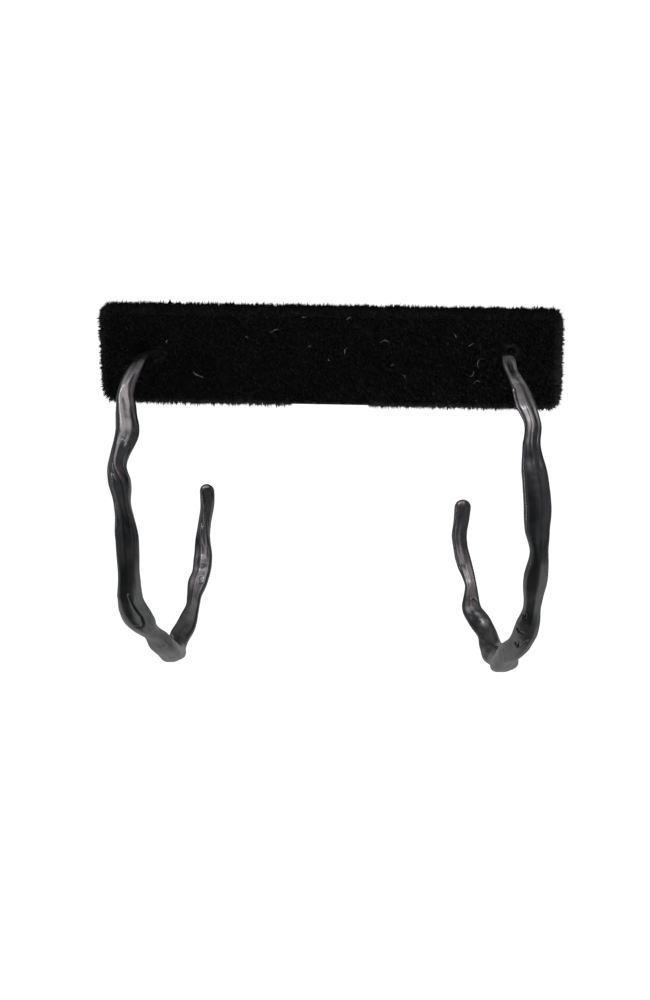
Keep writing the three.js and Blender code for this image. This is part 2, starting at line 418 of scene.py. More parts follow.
def face_outwards(mesh):
    """Turns every face of a closed mesh outwards."""
    turned = bmesh.new()
    turned.from_mesh(mesh)
    bmesh.ops.remove_doubles(turned, verts=turned.verts, dist=1e-7)
    bmesh.ops.recalc_face_normals(turned, faces=turned.faces)
    turned.to_mesh(mesh)
    turned.free()


# ---------------------------------------------------------------- materials


def velvet_pile_material(settings):
    """Black rayon velvet, woven and sheared.

    The upright fibres swallow light, so it is almost black, with a faint cool bloom where the
    pile is seen from the side and slow patches where it lies over. Towards the top edge its colour
    is darkened, a painted shade that keeps the top as dark as the front.
    """
    material, tree, place = new_material("black_rayon_velvet_pile")
    patch_size = 7 * MM
    patches = node(
        tree,
        "ShaderNodeTexNoise",
        {"Scale": 1 / patch_size, "Detail": 3.0, "Roughness": 0.6},
        {"Vector": place},
    )
    dark, light = (tuple(share * v for v in settings.colour) for share in (0.8, 1.25))
    colour = node(
        tree,
        "ShaderNodeValToRGB",
        {"stops": ((0.3, dark), (0.55, settings.colour), (0.75, light))},
        {"Fac": patches.outputs["Fac"]},
    )
    # Painted shade: towards the top edge the pile's colour is darkened down to this share.
    top, top_shade_level = COVER_HIGH.z, 0.6
    parts = node(tree, "ShaderNodeSeparateXYZ", None, {"Vector": place})
    painted_top_shade = node(
        tree,
        "ShaderNodeMapRange",
        between(top - 1.7 * MM, top - 0.5 * MM, 1.0, top_shade_level, "SMOOTHSTEP"),
        {"Value": parts.outputs["Z"]},
    )
    shaded = node(
        tree,
        "ShaderNodeVectorMath",
        {"operation": "SCALE"},
        {0: colour.outputs["Color"], "Scale": painted_top_shade.outputs["Result"]},
    )
    shader = node(
        tree,
        "ShaderNodeBsdfPrincipled",
        {
            "Roughness": 0.9,
            "Specular IOR Level": 0.08,
            "Sheen Weight": 0.03,
            "Sheen Roughness": 0.35,
            "Sheen Tint": (*linear("#93959c"), 1),
        },
        {"Base Color": shaded.outputs["Vector"]},
    )
    node(tree, "ShaderNodeOutputMaterial", None, {"Surface": shader.outputs[0]})
    return material


def velvet_ground_material():
    """Black cotton ground of the velvet, woven: quite dull, with its threads just showing."""
    material, tree, place = new_material("black_cotton_velvet_ground")
    thread_spacing = 0.3 * MM
    # The bands of a wave at scale 1 lie 0.314 apart.
    band_spacing = 0.314
    threads = [
        node(
            tree,
            "ShaderNodeTexWave",
            {
                "bands_direction": direction,
                "Scale": band_spacing / thread_spacing,
                "Distortion": 1.0,
            },
            {"Vector": place},
        ).outputs["Fac"]
        for direction in ("X", "Z")
    ]
    weave = node(
        tree, "ShaderNodeMath", {"operation": "MAXIMUM"}, {0: threads[0], 1: threads[1]}
    ).outputs[0]
    bump = node(
        tree, "ShaderNodeBump", {"Strength": 0.5, "Distance": 0.05 * MM}, {"Height": weave}
    )
    colour = node(
        tree,
        "ShaderNodeValToRGB",
        {"stops": ((0.2, linear("#1c1c1f")), (0.9, linear("#262629")))},
        {"Fac": weave},
    )
    shader = node(
        tree,
        "ShaderNodeBsdfPrincipled",
        {"Roughness": 0.95, "Specular IOR Level": 0.05},
        {"Base Color": colour.outputs["Color"], "Normal": bump.outputs["Normal"]},
    )
    node(tree, "ShaderNodeOutputMaterial", None, {"Surface": shader.outputs[0]})
    return material


def gunmetal_material(settings):
    """Cast brass with a black gunmetal plating, tumbled and hand polished.

    It reflects like a dark mirror, here a little cooler and there a little pinker, softer where the
    polishing wheel did not reach, and it keeps a few casting pits and hair-fine rubbing marks.
    Polishing paste stays black in the cracks.
    """
    material, tree, place = new_material("polished_gunmetal_plated_casting")
    cloud_size, pit_spacing, rub_width = 6 * MM, 1.6 * MM, 0.7 * MM
    clouds = node(
        tree,
        "ShaderNodeTexNoise",
        {"Scale": 1 / cloud_size, "Detail": 4.0, "Roughness": 0.6},
        {"Vector": place},
    ).outputs["Fac"]
    base = tuple(settings.colour)
    cool = tuple(v * k for v, k in zip(base, (0.68, 0.73, 0.75)))
    warm = tuple(v * k for v, k in zip(base, (1.2, 1.09, 1.13)))
    plating = node(
        tree,
        "ShaderNodeValToRGB",
        {"stops": ((0.35, cool), (0.5, base), (0.68, warm))},
        {"Fac": clouds},
    )
    cracked = node(tree, "ShaderNodeAttribute", {"attribute_name": "cracked"})
    grimy = node(
        tree,
        "ShaderNodeMapRange",
        between(0.2, 0.9, 0.0, 0.8, "SMOOTHSTEP"),
        {"Value": cracked.outputs["Fac"]},
    )
    colour = node(
        tree,
        "ShaderNodeMix",
        {"data_type": "RGBA", 7: (*linear("#141416"), 1)},
        {0: grimy.outputs["Result"], 6: plating.outputs["Color"]},
    )
    soft = node(
        tree,
        "ShaderNodeMapRange",
        between(0.3, 0.7, settings.roughness * 0.8, settings.roughness * 1.35),
        {"Value": clouds},
    )
    pits = node(
        tree,
        "ShaderNodeTexVoronoi",
        {"feature": "F1", "Scale": 1 / pit_spacing, "Randomness": 1.0},
        {"Vector": place},
    )
    pit = node(
        tree,
        "ShaderNodeMapRange",
        between(0.03, 0.1, 0.0, 1.0),
        {"Value": pits.outputs["Distance"]},
    )
    rubbing = node(
        tree,
        "ShaderNodeTexNoise",
        {"Scale": 1 / rub_width, "Detail": 3.0, "Roughness": 0.55},
        {"Vector": place},
    )
    deep = node(
        tree,
        "ShaderNodeBump",
        {"Strength": 0.15, "Distance": 0.04 * MM},
        {"Height": pit.outputs["Result"]},
    )
    fine = node(
        tree,
        "ShaderNodeBump",
        {"Strength": 0.12, "Distance": 0.02 * MM},
        {"Height": rubbing.outputs["Fac"], "Normal": deep.outputs["Normal"]},
    )
    shader = node(
        tree,
        "ShaderNodeBsdfPrincipled",
        {"Metallic": 1.0},
        {
            "Base Color": colour.outputs[2],
            "Roughness": soft.outputs["Result"],
            "Normal": fine.outputs["Normal"],
        },
    )
    node(tree, "ShaderNodeOutputMaterial", None, {"Surface": shader.outputs[0]})
    return material


def plated_metal_material(name, tint, roughness, grain_axis):
    """Plated metal, drawn or rolled: a satin grey with fine lines along its working."""
    material, tree, place = new_material(name)
    # Real working lines are finer. These are as coarse as they need to be to show.
    line_spacing = 0.12 * MM
    stretch = [1.0, 1.0, 1.0]
    stretch[grain_axis] = 0.06
    lines_place = node(tree, "ShaderNodeMapping", {"Scale": stretch}, {"Vector": place})
    lines = node(
        tree,
        "ShaderNodeTexNoise",
        {"Scale": 1 / line_spacing, "Detail": 2.0},
        {"Vector": lines_place.outputs["Vector"]},
    ).outputs["Fac"]
    shade = tuple(0.75 * v for v in tint)
    colour = node(
        tree,
        "ShaderNodeValToRGB",
        {"stops": ((0.35, shade), (0.65, tint))},
        {"Fac": lines},
    )
    rough = node(
        tree,
        "ShaderNodeMapRange",
        between(0.0, 1.0, roughness * 0.8, roughness * 1.3),
        {"Value": lines},
    )
    bump = node(
        tree, "ShaderNodeBump", {"Strength": 0.3, "Distance": 0.01 * MM}, {"Height": lines}
    )
    shader = node(
        tree,
        "ShaderNodeBsdfPrincipled",
        {"Metallic": 1.0},
        {
            "Base Color": colour.outputs["Color"],
            "Roughness": rough.outputs["Result"],
            "Normal": bump.outputs["Normal"],
        },
    )
    node(tree, "ShaderNodeOutputMaterial", None, {"Surface": shader.outputs[0]})
    return material


def fibreboard_material():
    """Medium-density fibreboard, sawn: felted brown wood fibres 0.2 to 2 mm long, quite dull."""
    material, tree, place = new_material("sawn_medium_density_fibreboard")
    fibre_size, fleck_size = 0.5 * MM, 2.5 * MM
    fibres = node(
        tree,
        "ShaderNodeTexNoise",
        {"Scale": 1 / fibre_size, "Detail": 6.0, "Roughness": 0.7, "Distortion": 1.5},
        {"Vector": place},
    ).outputs["Fac"]
    flecks = node(
        tree, "ShaderNodeTexNoise", {"Scale": 1 / fleck_size, "Detail": 2.0}, {"Vector": place}
    )
    mixed = node(
        tree,
        "ShaderNodeMix",
        {"data_type": "FLOAT", "Factor": 0.3},
        {"A": fibres, "B": flecks.outputs["Fac"]},
    )
    browns = ((0.3, linear("#5e4630")), (0.5, linear("#8f6f4d")), (0.7, linear("#b3946c")))
    colour = node(
        tree, "ShaderNodeValToRGB", {"stops": browns}, {"Fac": mixed.outputs["Result"]}
    )
    bump = node(
        tree, "ShaderNodeBump", {"Strength": 0.6, "Distance": 0.06 * MM}, {"Height": fibres}
    )
    shader = node(
        tree,
        "ShaderNodeBsdfPrincipled",
        {"Roughness": 0.85, "Specular IOR Level": 0.3},
        {"Base Color": colour.outputs["Color"], "Normal": bump.outputs["Normal"]},
    )
    node(tree, "ShaderNodeOutputMaterial", None, {"Surface": shader.outputs[0]})
    return material


def lint_material():
    """Cotton and polyester lint: single pale crimped fibres with a weak gloss."""
    material, tree, place = new_material("pale_cotton_lint")
    patch_size = 0.4 * MM
    patches = node(
        tree, "ShaderNodeTexNoise", {"Scale": 1 / patch_size, "Detail": 1.0}, {"Vector": place}
    )
    colour = node(
        tree,
        "ShaderNodeValToRGB",
        {"stops": ((0.35, linear("#8d8e92")), (0.65, linear("#e2e3e7")))},
        {"Fac": patches.outputs["Fac"]},
    )
    shader = node(
        tree,
        "ShaderNodeBsdfPrincipled",
        {"Roughness": 0.6, "Specular IOR Level": 0.3},
        {"Base Color": colour.outputs["Color"]},
    )
    node(tree, "ShaderNodeOutputMaterial", None, {"Surface": shader.outputs[0]})
    return material


def floor_material(settings):
    """Background paper, matt and white, lit to a clean white, with the faint tooth of its felt."""
    material, tree, place = new_material("matt_white_background_paper")
    tooth_scale = 900.0
    tooth = node(
        tree, "ShaderNodeTexNoise", {"Scale": tooth_scale, "Detail": 2.0}, {"Vector": place}
    )
    paper = tuple(settings.floor_colour)
    shade = tuple(0.985 * v for v in paper)
    colour = node(
        tree,
        "ShaderNodeValToRGB",
        {"stops": ((0.4, shade), (0.6, paper))},
        {"Fac": tooth.outputs["Fac"]},
    )
    shader = node(
        tree,
        "ShaderNodeBsdfPrincipled",
        {"Roughness": 0.95, "Emission Strength": 1.0, "Emission Color": (1, 1, 1, 1)},
        {"Base Color": colour.outputs["Color"]},
    )
    node(tree, "ShaderNodeOutputMaterial", None, {"Surface": shader.outputs[0]})
    return material


# ---------------------------------------------------------------- the velvet

# The cloth's shape, in millimetres: its corners, the spacing of its points and its rounded edge.
CORNERS = {"top": 1.7, "bottom": 2.3}
CORNER_STEPS = 7
EDGE_STEP = 2.0
CLOTH_EDGE = 0.6
# The stem presses the cloth flat under the bar's middle, nearly out to the cover's outside.
STEM_HALF_WIDTH = 7.6
PRESSED_SKIN = 0.02
# What is cut out of the cloth: the posts' holes, and a slot for the board's tongue.
PUNCH = {"radius": 0.6, "depth": 30, "sides": 20}
STEM_SLOT = {"width": 14.3, "height": 4, "middle": 0.5, "play": 0.1}
# The back panel: how deep its ground lies, its bevel and how far its three rings are drawn in.
BACK_PILE = 0.6
PANEL_BEVEL = 0.1
PANEL_INSETS = (1.3, 1.25, 1.5)
# Round a post the ground is bare. Further out the tufts lean away from the post, more the closer
# they stand.
BARE_RADIUS = 0.95
PARTED_RADIUS = 1.9
PARTING = 0.7


def bar_outline():
    """Points round the bar's front, in millimetres, anticlockwise from the lower right corner.

    Each has its outward direction, and says whether the stem presses the cloth flat there.
    """
    low_x, high_x = COVER_LOW.x / MM, COVER_HIGH.x / MM
    low_z, high_z = COVER_LOW.z / MM, COVER_HIGH.z / MM
    corners = (
        (high_x, low_z, CORNERS["bottom"], -90),
        (high_x, high_z, CORNERS["top"], 0),
        (low_x, high_z, CORNERS["top"], 90),
        (low_x, low_z, CORNERS["bottom"], 180),
    )
    points = []
    for x, z, radius, start in corners:
        centre_x = x - math.copysign(radius, x)
        centre_z = z - radius if z == high_z else z + radius
        for i in range(CORNER_STEPS + 1):
            turn = math.radians(start + 90 * i / CORNER_STEPS)
            away = (math.cos(turn), math.sin(turn))
            points.append((centre_x + radius * away[0], centre_z + radius * away[1], *away, False))
    edge = STEM_HALF_WIDTH
    for x, flat in ((-edge, False), (-edge, True), (edge, True), (edge, False)):
        points.append((x, low_z, 0.0, -1.0, flat))
    filled = []
    for here, there in zip(points, points[1:] + points[:1]):
        filled.append(here)
        steps = max(1, int(math.dist(here[:2], there[:2]) / EDGE_STEP))
        for i in range(1, steps):
            t = i / steps
            filled.append((*(a + (b - a) * t for a, b in zip(here[:2], there[:2])), *here[2:]))
    return filled


def shell_mesh(name, rings, flat_drop=0.0):
    """A closed slab whose rings are the bar's outline drawn in by an inset at each Y.

    Where a stem presses the cloth flat, the ring runs further out by the drop.
    """
    outline = bar_outline()
    count = len(outline)
    points = []
    for y, inset in rings:
        for x, z, dx, dz, flat in outline:
            drawn_in = inset - flat_drop if flat else inset
            points.append((x - dx * drawn_in, y, z - dz * drawn_in))
    faces = [tuple(range(count))]
    for r in range(len(rings) - 1):
        for i in range(count):
            j = (i + 1) % count
            a, b = r * count, (r + 1) * count
            faces.append((a + j, a + i, b + i, b + j))
    last = (len(rings) - 1) * count
    faces.append(tuple(last + i for i in reversed(range(count))))
    return mesh_of(name, points, faces)


def ground_rings(settings):
    """How the cloth under the pile runs from the front over the edge to the back."""
    pile = settings.pile_length / MM
    front = COVER_LOW.y / MM + pile
    back = COVER_HIGH.y / MM
    rings = []
    for turn in (0, 22, 45, 68, 90):
        aside, ahead = math.sin(math.radians(turn)), math.cos(math.radians(turn))
        rings.append((front + CLOTH_EDGE * (1 - ahead), pile + CLOTH_EDGE * (1 - aside)))
    for turn in (0, 30, 60, 90):
        aside, behind = math.cos(math.radians(turn)), math.sin(math.radians(turn))
        rings.append((back - CLOTH_EDGE * (1 - behind), pile + CLOTH_EDGE * (1 - aside)))
    return rings


def punch(source, stem_slot=False):
    """Cuts the two post holes through a piece, and the slot for the board's tongue."""
    cutter_mesh = bmesh.new()
    if stem_slot:
        low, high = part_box("core_board")
        middle = Vector((0, (low.y + high.y) / 2, STEM_SLOT["middle"] * MM))
        deep = high.y - low.y + STEM_SLOT["play"] * MM
        size = Matrix.Diagonal((STEM_SLOT["width"] * MM, deep, STEM_SLOT["height"] * MM, 1))
        bmesh.ops.create_cube(cutter_mesh, size=1, matrix=Matrix.Translation(middle) @ size)
    lying = Matrix.Rotation(math.pi / 2, 4, "X")
    for hoop in HOOPS:
        x, z = hole(hoop)
        bmesh.ops.create_cone(
            cutter_mesh,
            cap_ends=True,
            segments=PUNCH["sides"],
            radius1=PUNCH["radius"] * MM,
            radius2=PUNCH["radius"] * MM,
            depth=PUNCH["depth"] * MM,
            matrix=Matrix.Translation(Vector((x, 0, z)) * MM) @ lying,
        )
    mesh = bpy.data.meshes.new("cutter")
    cutter_mesh.to_mesh(mesh)
    cutter_mesh.free()
    cutter = bpy.data.objects.new("cutter", mesh)
    bpy.context.scene.collection.objects.link(cutter)
    cutting = source.modifiers.new("punch", "BOOLEAN")
    cutting.operation = "DIFFERENCE"
    cutting.object = cutter
    cutting.solver = "EXACT"
    result = evaluated_mesh(source)
    discard(cutter)
    discard(source)
    return result


def pile_tree():
    """Stands tufts on a cloth: its inputs are the cloth and the pile's sizes.

    Tufts lean in clumps, each strays a little, and they part round the posts' holes. A few
    stand taller than the rest.
    """
    tree = bpy.data.node_groups.new("velvet_pile", "GeometryNodeTree")
    sockets = {}
    for name, kind in (
        ("Cloth", "NodeSocketGeometry"),
        ("Density", "NodeSocketFloat"),
        ("Length", "NodeSocketFloat"),
        ("Width", "NodeSocketFloat"),
        ("Lean", "NodeSocketFloat"),
        ("Clump", "NodeSocketFloat"),
        ("Left Hole", "NodeSocketVector"),
        ("Right Hole", "NodeSocketVector"),
        ("Hole Radius", "NodeSocketFloat"),
        ("Seed", "NodeSocketInt"),
        ("Material", "NodeSocketMaterial"),
    ):
        sockets[name] = tree.interface.new_socket(name, in_out="INPUT", socket_type=kind).identifier
    tree.interface.new_socket("Pile", in_out="OUTPUT", socket_type="NodeSocketGeometry")
    given = node(tree, "NodeGroupInput").outputs
    place = node(tree, "GeometryNodeInputPosition").outputs[0]
    flat = node(
        tree, "ShaderNodeVectorMath", {"operation": "MULTIPLY", 1: (1, 0, 1)}, {0: place}
    ).outputs[0]

    clear, pushes = [], []
    for name in ("Left Hole", "Right Hole"):
        aside = node(
            tree, "ShaderNodeVectorMath", {"operation": "SUBTRACT"}, {0: flat, 1: given[name]}
        ).outputs[0]
        away = node(
            tree, "ShaderNodeVectorMath", {"operation": "LENGTH"}, {0: aside}
        ).outputs["Value"]
        outside = node(
            tree,
            "ShaderNodeMath",
            {"operation": "GREATER_THAN"},
            {0: away, 1: given["Hole Radius"]},
        )
        clear.append(outside.outputs[0])
        parting = node(
            tree,
            "ShaderNodeMapRange",
            between(0.0, PARTED_RADIUS * MM, PARTING / MM, 0.0),
            {"Value": away, "From Min": given["Hole Radius"]},
        )
        pushed = node(
            tree,
            "ShaderNodeVectorMath",
            {"operation": "SCALE"},
            {0: aside, "Scale": parting.outputs["Result"]},
        )
        pushes.append(pushed.outputs[0])

    covered = node(
        tree, "GeometryNodeInputNamedAttribute", {"data_type": "FLOAT", "Name": "covered"}
    )
    wanted = node(
        tree,
        "ShaderNodeMath",
        {"operation": "MULTIPLY"},
        {0: given["Density"], 1: covered.outputs["Attribute"]},
    )
    points = node(
        tree,
        "GeometryNodeDistributePointsOnFaces",
        links={"Mesh": given["Cloth"], "Density": wanted.outputs[0], "Seed": given["Seed"]},
    )
    open_cloth = node(tree, "ShaderNodeMath", {"operation": "MINIMUM"}, {0: clear[0], 1: clear[1]})
    kept = node(
        tree,
        "GeometryNodeSeparateGeometry",
        {"domain": "POINT"},
        {"Geometry": points.outputs["Points"], "Selection": open_cloth.outputs[0]},
    )
    tuft = node(
        tree,
        "GeometryNodeMeshCone",
        {"fill_type": "NGON", "Vertices": 3, "Radius Top": 0.0},
        {"Radius Bottom": given["Width"], "Depth": given["Length"]},
    )

    clumps = node(
        tree,
        "ShaderNodeTexNoise",
        {"Detail": 2.0, "Roughness": 0.6},
        {"Vector": place, "Scale": given["Clump"]},
    )
    centred = node(
        tree,
        "ShaderNodeVectorMath",
        {"operation": "SUBTRACT", 1: (0.5, 0.5, 0.5)},
        {0: clumps.outputs["Color"]},
    )
    leaning = node(
        tree,
        "ShaderNodeVectorMath",
        {"operation": "SCALE"},
        {0: centred.outputs[0], "Scale": given["Lean"]},
    )
    stray = node(
        tree,
        "FunctionNodeRandomValue",
        {"data_type": "FLOAT_VECTOR", 0: (-0.16, -0.16, -0.16), 1: (0.16, 0.16, 0.16)},
        {"Seed": given["Seed"]},
    )
    heading = leaning.outputs[0]
    for turned in (stray.outputs[0], points.outputs["Normal"], *pushes):
        heading = node(
            tree, "ShaderNodeVectorMath", {"operation": "ADD"}, {0: heading, 1: turned}
        ).outputs[0]
    stood = node(
        tree,
        "FunctionNodeAlignRotationToVector",
        {"axis": "Z"},
        {"Rotation": points.outputs["Rotation"], "Vector": heading},
    )

    luck = node(
        tree,
        "FunctionNodeRandomValue",
        {"data_type": "FLOAT", 2: 0.0, 3: 1.0},
        {"Seed": given["Seed"]},
    )
    rare = node(tree, "ShaderNodeMath", {"operation": "POWER", 1: 4.0}, {0: luck.outputs[1]})
    tall = node(
        tree, "ShaderNodeMapRange", between(0.0, 1.0, 1.3, 2.0), {"Value": rare.outputs[0]}
    )
    clump_tall = node(
        tree,
        "ShaderNodeMapRange",
        between(0.35, 0.65, 0.8, 1.2),
        {"Value": clumps.outputs["Fac"]},
    )
    height = node(
        tree,
        "ShaderNodeMath",
        {"operation": "MULTIPLY"},
        {0: tall.outputs["Result"], 1: clump_tall.outputs["Result"]},
    )

    planted = node(
        tree,
        "GeometryNodeInstanceOnPoints",
        links={
            "Points": kept.outputs["Selection"],
            "Instance": tuft.outputs["Mesh"],
            "Rotation": stood.outputs[0],
            "Scale": height.outputs[0],
        },
    )
    real = node(tree, "GeometryNodeRealizeInstances", links={"Geometry": planted.outputs[0]})
    finished = node(
        tree,
        "GeometryNodeSetMaterial",
        links={"Geometry": real.outputs[0], "Material": given["Material"]},
    )
    node(tree, "NodeGroupOutput", links={"Pile": finished.outputs[0]})
    return tree, sockets


def mark_covered(mesh, bare):
    """Stores on each face whether pile stands on it."""
    marks = mesh.attributes.new("covered", "FLOAT", "FACE")
    marks.data.foreach_set("value", [0.0 if bare(face) else 1.0 for face in mesh.polygons])


def grow_pile(name, cloth, pile_nodes, settings, length, density, seed, material):
    """Stands pile on a cloth mesh and returns it as a plain mesh."""
    tree, sockets = pile_nodes
    holder = new_object(name + "_cloth", cloth, smooth=False)
    growing = holder.modifiers.new("pile", "NODES")
    growing.node_group = tree
    clump_size = 0.6 * MM
    values = {
        "Density": density / MM**2,
        "Length": length,
        "Width": settings.tuft_width / 2,
        "Lean": settings.lean,
        "Clump": 1 / clump_size,
        "Left Hole": [hole(LEFT)[0] * MM, 0.0, hole(LEFT)[1] * MM],
        "Right Hole": [hole(RIGHT)[0] * MM, 0.0, hole(RIGHT)[1] * MM],
        "Hole Radius": BARE_RADIUS * MM,
        "Seed": seed,
        "Material": material,
    }
    for key, value in values.items():
        growing[sockets[key]] = value
    mesh = evaluated_mesh(holder)
    mesh.name = name
    discard(holder)
    return mesh


def back_rings():
    """How the back panel's ground runs from the glued side to its drawn-in back edge."""
    back = PANEL_HIGH.y / MM - BACK_PILE
    return list(zip((PANEL_LOW.y / MM, back - PANEL_BEVEL, back), PANEL_INSETS))


class DISPLAY_OT_velvet(bpy.types.Operator):
    """Covers the bar with its velvet ground and grows the pile on it"""

    bl_idname = "earring_display.velvet"
    bl_label = "Velvet"

    def execute(self, context):
        settings = context.scene.earring_velvet
        ground = velvet_ground_material()
        rings, panel_rings = ground_rings(settings), back_rings()
        drop = settings.pile_length / MM - PRESSED_SKIN
        blank = new_object("cover_blank", shell_mesh("cover_blank", rings, drop))
        punched = punch(blank, stem_slot=True)
        cover = new_object("velvet_ground", punched, "bar", ground, smooth=False)
        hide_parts("velvet_cover")
        blank = new_object("panel_blank", shell_mesh("panel_blank", panel_rings))
        punched = punch(blank)
        panel = new_object("velvet_back_ground", punched, "bar", ground, smooth=False)
        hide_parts("velvet_back_panel")

        near = 0.05 * MM
        front_y, panel_y = rings[0][0] * MM, PANEL_LOW.y
        stem_x, stem_z = STEM_HALF_WIDTH * MM, 2 * MM

        def is_front(face):
            return face.normal.y < -0.99 and face.center.y < front_y + near

        def bare_past_front(face):
            return not is_front(face)

        def bare_past_edges(face):
            under_stem = face.center.z < stem_z and abs(face.center.x) < stem_x
            return is_front(face) or under_stem or face.normal.y > 0.95

        def bare_where_glued(face):
            return face.center.y < panel_y + near and face.normal.y < -0.5

        # Each pile: its name, the cloth, how far pressed cloth drops, the faces that stay bare,
        # the length of its tufts and its share of the density.
        length = settings.pile_length
        plans = (
            ("pile_front", rings, drop, bare_past_front, length, 1.0),
            ("pile_edges", rings, drop, bare_past_edges, 1.2 * length, 1.0),
            ("pile_back", panel_rings, 0.0, bare_where_glued, 0.65 * MM, 0.85),
        )
        pile_nodes, pile = pile_tree(), velvet_pile_material(settings)
        for index, (name, shape, dropped, bare, tall, share) in enumerate(plans):
            cloth = shell_mesh(name + "_cloth", shape, dropped)
            mark_covered(cloth, bare)
            density, seed = settings.density * share, settings.seed + index
            grown = grow_pile(name, cloth, pile_nodes, settings, tall, density, seed, pile)
            new_object(name, grown, "bar", smooth=False)
        return {"FINISHED"}


# ---------------------------------------------------------------- lint

# In millimetres: how far a fibre stands off the cover's outside, how much more it arches, how
# much it crimps, its radius by its length, and how thin its ends are as a share of that.
FIBRE_STEPS = 14
FIBRE_SIDES = 5
FIBRE_LIFT = 0.4
FIBRE_ARCH = 0.12
FIBRE_CRIMP = 0.05
FIBRE_LONG = 1.2
FIBRE_RADIUS = {"long": 0.034, "short": 0.04}
FIBRE_END = 0.15


def fibre_points(index, x, z, length, bend, turn):
    """The surface points of one fibre, ring by ring, from its middle's place on the bar."""
    radius = FIBRE_RADIUS["long" if length > FIBRE_LONG else "short"]
    front = COVER_LOW.y / MM - FIBRE_LIFT
    cos, sin = math.cos(math.radians(turn)), math.sin(math.radians(turn))
    points = []
    for i in range(FIBRE_STEPS + 1):
        t = i / FIBRE_STEPS - 0.5
        bulge = math.cos(math.pi * t)
        along = t * length
        aside = bend * length * (0.5 - 2 * t * t) + FIBRE_CRIMP * math.sin(9 * t + index)
        middle_x = x + along * cos - aside * sin
        middle_y = front - FIBRE_ARCH * bulge + FIBRE_CRIMP * math.sin(5 * t + index)
        middle_z = z + along * sin + aside * cos
        thin = radius * max(FIBRE_END, bulge**0.5)
        for s in range(FIBRE_SIDES):
            around = 2 * math.pi * s / FIBRE_SIDES
            across, ahead = thin * math.cos(around), thin * math.sin(around)
            points.append((middle_x - across * sin, middle_y + ahead, middle_z + across * cos))
    return points


class DISPLAY_OT_lint(bpy.types.Operator):
    """Lays single pale fibres on the velvet's front"""

    bl_idname = "earring_display.lint"
    bl_label = "Lint"

    def execute(self, context):
        points, faces = [], []
        sides = FIBRE_SIDES
        for index, fibre in enumerate(LINT):
            start = len(points)
            points.extend(fibre_points(index, *fibre))
            for i in range(FIBRE_STEPS):
                for s in range(sides):
                    a = start + i * sides + s
                    b = start + i * sides + (s + 1) % sides
                    faces.append((a, b, b + sides, a + sides))
            last = start + FIBRE_STEPS * sides
            faces.append(tuple(start + s for s in reversed(range(sides))))
            faces.append(tuple(last + s for s in range(sides)))
        mesh = mesh_of("lint_fibres", points, faces)
        face_outwards(mesh)
        new_object("lint_fibres", mesh, "bar", lint_material())
        return {"FINISHED"}


# ---------------------------------------------------------------- the hoops

# The columns of the stations.
ANGLE, OFFSET, SWELL, WIDTH, DEPTH, TURN = range(6)

RING_SIDES = 100
RING_STEPS = 900
# The front end is blunt where the post is brazed in: how far it takes to fill out in
# millimetres, and the share of its size that it starts with. The back end is a round tip.
BLUNT_REACH = 0.45
BLUNT_SHARE = 0.84
BLUNT_STEPS = 12
TIP_STEPS = 16
TIP_SHARE = 0.02
# Three ridges with sharpened edges, and flutes: how many there are, how fast they twist with the
# ridges and how high they stand. They fade out at the bottom: the angle, its spread and the share.
RIDGES = 3
SHARPENING = 0.25
FLUTES = ((7, 4, 0.13), (12, 9, 0.02))
SMOOTH_BOTTOM = (155, 32, 0.85)
# The sizes of the dents in millimetres, and the share of the small ones.
BROAD_DENT = 3.2
SMALL_DENT = 1.3
SMALL_SHARE = 0.12
# A mark deeper than this is a crack. A mark of three or more points fades in and out over a few
# of its half widths, and nothing further than the margin past a mark's ends is touched.
CRACK_HEIGHT = -0.3
FADE_WIDTHS = 5
FADED_SHARE = 0.1
MARK_MARGIN = 4


def smooth_column(stations, column, angles):
    """One column of the stations at each angle, on a smooth curve through the stations."""
    knots = np.array([s[ANGLE] for s in stations], float)
    values = np.array([s[column] for s in stations], float)
    last = len(knots) - 1
    before = np.maximum(np.arange(last + 1) - 1, 0)
    after = np.minimum(np.arange(last + 1) + 1, last)
    slopes = (values[after] - values[before]) / (knots[after] - knots[before])
    high = np.clip(np.searchsorted(knots, angles), 1, last)
    low = high - 1
    span = knots[high] - knots[low]
    t = np.clip((angles - knots[low]) / span, 0, 1)
    return (
        (2 * t**3 - 3 * t**2 + 1) * values[low]
        + (t**3 - 2 * t**2 + t) * span * slopes[low]
        + (3 * t**2 - 2 * t**3) * values[high]
        + (t**3 - t**2) * span * slopes[high]
    )


def hoop_angles(hoop):
    """Angles along the ring, close together at its two ends, and how far each end has closed."""
    stations = hoop["stations"]
    first, last = stations[0][ANGLE], stations[-1][ANGLE]
    to_degrees = 180 / math.pi / hoop["radius"]
    blunt = BLUNT_REACH * to_degrees
    tip = stations[-1][WIDTH] / 2 * to_degrees
    filling = np.linspace(0, math.pi / 2, BLUNT_STEPS)[:-1]
    rounding = np.linspace(0, math.pi / 2, TIP_STEPS)[1:]
    start = first + blunt * (1 - np.cos(filling))
    middle = np.linspace(first + blunt, last - tip, RING_STEPS)
    finish = last - tip * (1 - np.sin(rounding))
    close_start = BLUNT_SHARE + (1 - BLUNT_SHARE) * np.sin(filling)
    close_finish = np.maximum(np.cos(rounding), TIP_SHARE)
    closing = np.concatenate([close_start, np.ones(RING_STEPS), close_finish])
    return np.concatenate([start, middle, finish]), closing


def lowered(angles, dip):
    """One along the ring, but lower round an angle. A dip is that angle, its spread and a share."""
    middle, spread, share = dip
    return (1 - share * np.exp(-(((angles - middle) / spread) ** 2)))[:, None]


